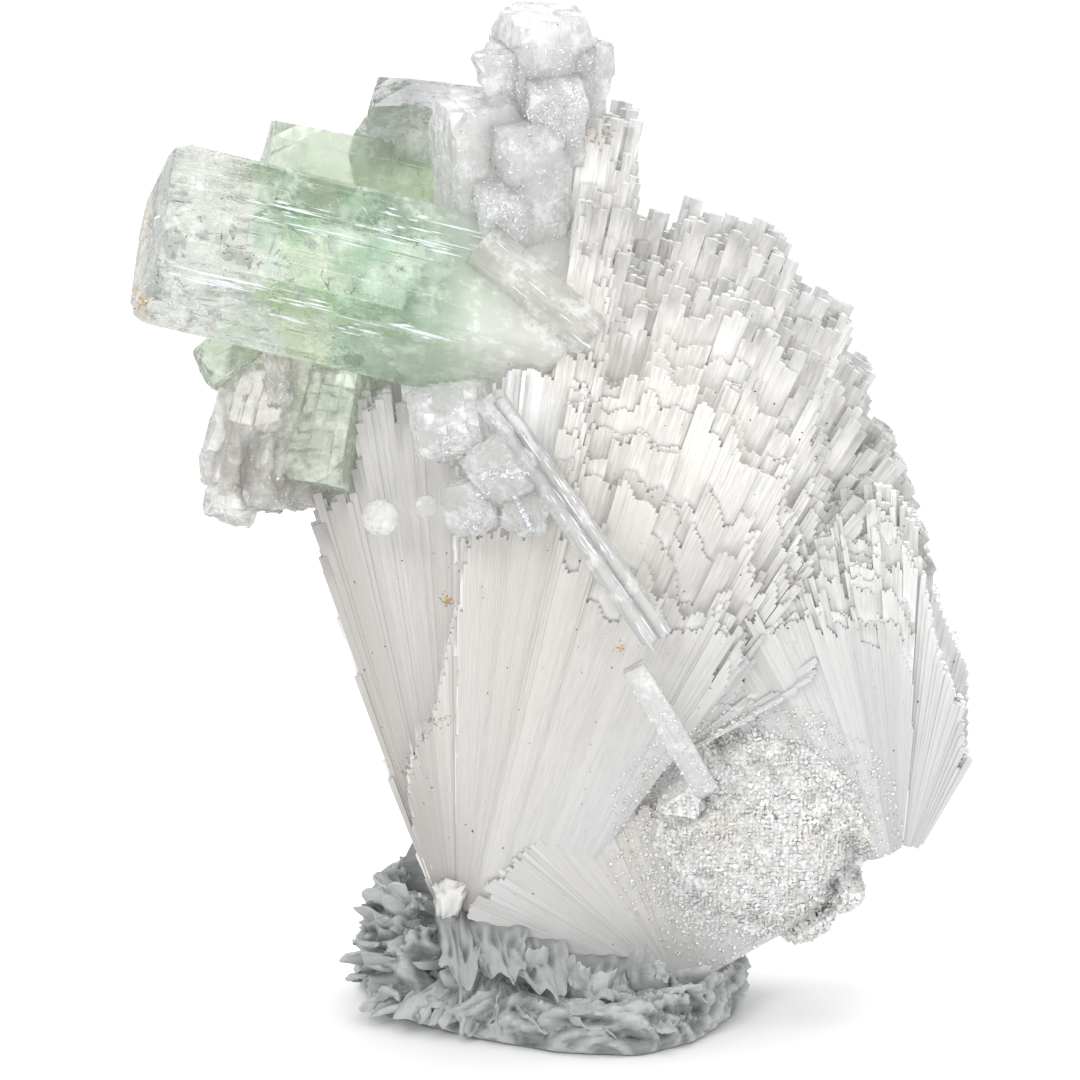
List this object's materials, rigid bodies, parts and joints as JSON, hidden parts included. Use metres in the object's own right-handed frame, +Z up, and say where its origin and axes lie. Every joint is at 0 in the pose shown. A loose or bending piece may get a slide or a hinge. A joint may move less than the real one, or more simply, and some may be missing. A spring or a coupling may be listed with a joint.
{
  "type": "apophyllite cluster on scolecite",
  "caption": "Mineral specimen: green and clear square apophyllite crystals grown on a fanned spray of white scolecite needles, standing upright in a pressed lump of grey putty.",
  "frame": {"origin": "on the flat underside of the putty, under the middle of the lump, where the specimen stands on a table", "axes": "+Z up, +X to the right as the display face is looked at, the display face looks towards -Y"},
  "size_m": [0.0946, 0.0432, 0.1132],
  "materials": {
    "scolecite": "fibrous, satin to glassy at the needle tips",
    "green_apophyllite": "vitreous, striated along its length",
    "clear_apophyllite": "vitreous, pitted",
    "pale_apophyllite": "vitreous, faintly brownish",
    "smoky_apophyllite": "vitreous, smoky grey",
    "druse": "sparkling crust of tiny crystals",
    "putty": "satin, kneaded"
  },
  "bodies": {
    "root": {"scolecite_spray": "scolecite", "green_apophyllite_main": "green_apophyllite", "green_apophyllite_back": "green_apophyllite", "green_apophyllite_lower": "green_apophyllite", "green_apophyllite_small": "green_apophyllite", "clear_apophyllite_front": "clear_apophyllite", "clear_apophyllite_shoulder": "clear_apophyllite", "clear_apophyllite_top": "clear_apophyllite", "clear_prism_pair": "clear_apophyllite", "clear_prism_upper": "pale_apophyllite", "skeletal_blade": "clear_apophyllite", "pale_apophyllite_left": "pale_apophyllite", "smoky_apophyllite_back": "smoky_apophyllite", "disc_crystal_large": "clear_apophyllite", "disc_crystal_small": "clear_apophyllite", "drusy_crust": "druse", "putty_mount": "putty"}
  },
  "joints": []
}
